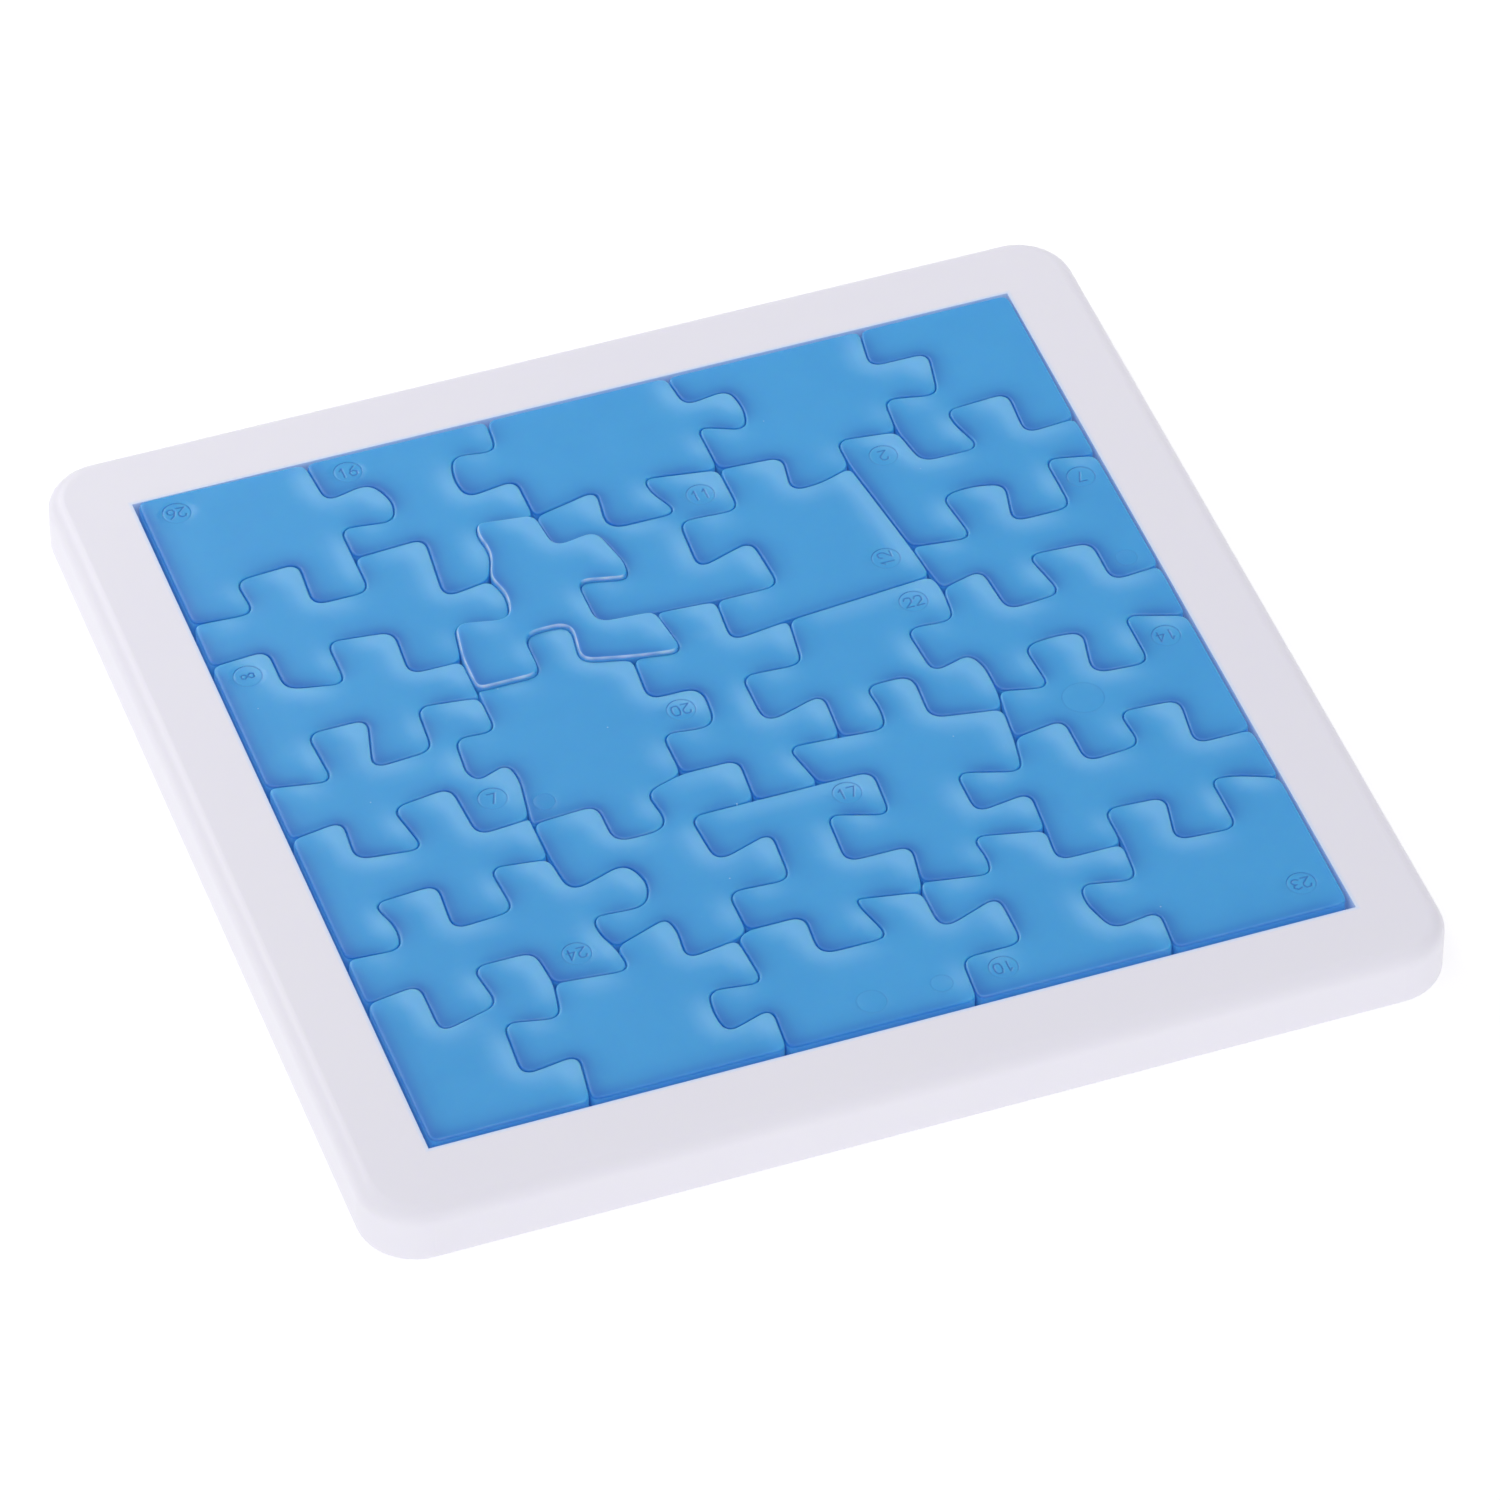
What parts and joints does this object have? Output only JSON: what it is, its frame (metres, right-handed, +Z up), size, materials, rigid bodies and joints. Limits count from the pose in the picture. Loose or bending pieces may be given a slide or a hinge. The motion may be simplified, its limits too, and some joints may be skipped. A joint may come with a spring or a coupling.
{
  "type": "tray packing puzzle",
  "caption": "Square moulded tray whose sharp-cornered pocket is filled with loose interlocking jigsaw pieces; each piece lifts straight out.",
  "frame": {"origin": "centre of the tray's flat underside", "axes": "+Z up, +X to the right along the near edge, +Y towards the far edge"},
  "size_m": [0.131, 0.131, 0.0082],
  "materials": {
    "tray_plastic": "satin white moulded plastic",
    "piece_plastic": "slightly see-through blue moulded plastic, softly glossy"
  },
  "bodies": {
    "tray": {"tray": "tray_plastic"},
    "piece_01": {"piece_01": "piece_plastic"},
    "piece_02": {"piece_02": "piece_plastic"},
    "piece_03": {"piece_03": "piece_plastic"},
    "piece_04": {"piece_04": "piece_plastic"},
    "piece_05": {"piece_05": "piece_plastic"},
    "piece_06": {"piece_06": "piece_plastic"},
    "piece_07": {"piece_07": "piece_plastic"},
    "piece_08": {"piece_08": "piece_plastic"},
    "piece_09": {"piece_09": "piece_plastic"},
    "piece_10": {"piece_10": "piece_plastic"},
    "piece_11": {"piece_11": "piece_plastic"},
    "piece_12": {"piece_12": "piece_plastic"},
    "piece_13": {"piece_13": "piece_plastic"},
    "piece_14": {"piece_14": "piece_plastic"},
    "piece_15": {"piece_15": "piece_plastic"},
    "piece_16": {"piece_16": "piece_plastic"},
    "piece_17": {"piece_17": "piece_plastic"},
    "piece_18": {"piece_18": "piece_plastic"},
    "piece_19": {"piece_19": "piece_plastic"},
    "piece_20": {"piece_20": "piece_plastic"},
    "piece_21": {"piece_21": "piece_plastic"},
    "piece_22": {"piece_22": "piece_plastic"},
    "piece_23": {"piece_23": "piece_plastic"},
    "piece_24": {"piece_24": "piece_plastic"},
    "piece_25": {"piece_25": "piece_plastic"},
    "piece_26": {"piece_26": "piece_plastic"},
    "piece_27": {"piece_27": "piece_plastic"},
    "piece_28": {"piece_28": "piece_plastic"},
    "piece_29": {"piece_29": "piece_plastic"}
  },
  "joints": [
    {"name": "lift_01", "type": "slide", "parent": "tray", "child": "piece_01", "axis": [0, 0, 1], "range_m": [0, 0.02]},
    {"name": "lift_02", "type": "slide", "parent": "tray", "child": "piece_02", "axis": [0, 0, 1], "range_m": [0, 0.02]},
    {"name": "lift_03", "type": "slide", "parent": "tray", "child": "piece_03", "axis": [0, 0, 1], "range_m": [0, 0.02]},
    {"name": "lift_04", "type": "slide", "parent": "tray", "child": "piece_04", "axis": [0, 0, 1], "range_m": [0, 0.02]},
    {"name": "lift_05", "type": "slide", "parent": "tray", "child": "piece_05", "axis": [0, 0, 1], "range_m": [0, 0.02]},
    {"name": "lift_06", "type": "slide", "parent": "tray", "child": "piece_06", "axis": [0, 0, 1], "range_m": [0, 0.02]},
    {"name": "lift_07", "type": "slide", "parent": "tray", "child": "piece_07", "axis": [0, 0, 1], "range_m": [0, 0.02]},
    {"name": "lift_08", "type": "slide", "parent": "tray", "child": "piece_08", "axis": [0, 0, 1], "range_m": [0, 0.02]},
    {"name": "lift_09", "type": "slide", "parent": "tray", "child": "piece_09", "axis": [0, 0, 1], "range_m": [0, 0.02]},
    {"name": "lift_10", "type": "slide", "parent": "tray", "child": "piece_10", "axis": [0, 0, 1], "range_m": [0, 0.02]},
    {"name": "lift_11", "type": "slide", "parent": "tray", "child": "piece_11", "axis": [0, 0, 1], "range_m": [0, 0.02]},
    {"name": "lift_12", "type": "slide", "parent": "tray", "child": "piece_12", "axis": [0, 0, 1], "range_m": [0, 0.02]},
    {"name": "lift_13", "type": "slide", "parent": "tray", "child": "piece_13", "axis": [0, 0, 1], "range_m": [0, 0.02]},
    {"name": "lift_14", "type": "slide", "parent": "tray", "child": "piece_14", "axis": [0, 0, 1], "range_m": [0, 0.02]},
    {"name": "lift_15", "type": "slide", "parent": "tray", "child": "piece_15", "axis": [0, 0, 1], "range_m": [0, 0.02]},
    {"name": "lift_16", "type": "slide", "parent": "tray", "child": "piece_16", "axis": [0, 0, 1], "range_m": [0, 0.02]},
    {"name": "lift_17", "type": "slide", "parent": "tray", "child": "piece_17", "axis": [0, 0, 1], "range_m": [0, 0.02]},
    {"name": "lift_18", "type": "slide", "parent": "tray", "child": "piece_18", "axis": [0, 0, 1], "range_m": [0, 0.02]},
    {"name": "lift_19", "type": "slide", "parent": "tray", "child": "piece_19", "axis": [0, 0, 1], "range_m": [0, 0.02]},
    {"name": "lift_20", "type": "slide", "parent": "tray", "child": "piece_20", "axis": [0, 0, 1], "range_m": [0, 0.02]},
    {"name": "lift_21", "type": "slide", "parent": "tray", "child": "piece_21", "axis": [0, 0, 1], "range_m": [0, 0.02]},
    {"name": "lift_22", "type": "slide", "parent": "tray", "child": "piece_22", "axis": [0, 0, 1], "range_m": [0, 0.02]},
    {"name": "lift_23", "type": "slide", "parent": "tray", "child": "piece_23", "axis": [0, 0, 1], "range_m": [0, 0.02]},
    {"name": "lift_24", "type": "slide", "parent": "tray", "child": "piece_24", "axis": [0, 0, 1], "range_m": [0, 0.02]},
    {"name": "lift_25", "type": "slide", "parent": "tray", "child": "piece_25", "axis": [0, 0, 1], "range_m": [0, 0.02]},
    {"name": "lift_26", "type": "slide", "parent": "tray", "child": "piece_26", "axis": [0, 0, 1], "range_m": [0, 0.02]},
    {"name": "lift_27", "type": "slide", "parent": "tray", "child": "piece_27", "axis": [0, 0, 1], "range_m": [0, 0.02]},
    {"name": "lift_28", "type": "slide", "parent": "tray", "child": "piece_28", "axis": [0, 0, 1], "range_m": [0, 0.02]},
    {"name": "lift_29", "type": "slide", "parent": "tray", "child": "piece_29", "axis": [0, 0, 1], "range_m": [0, 0.02]}
  ]
}
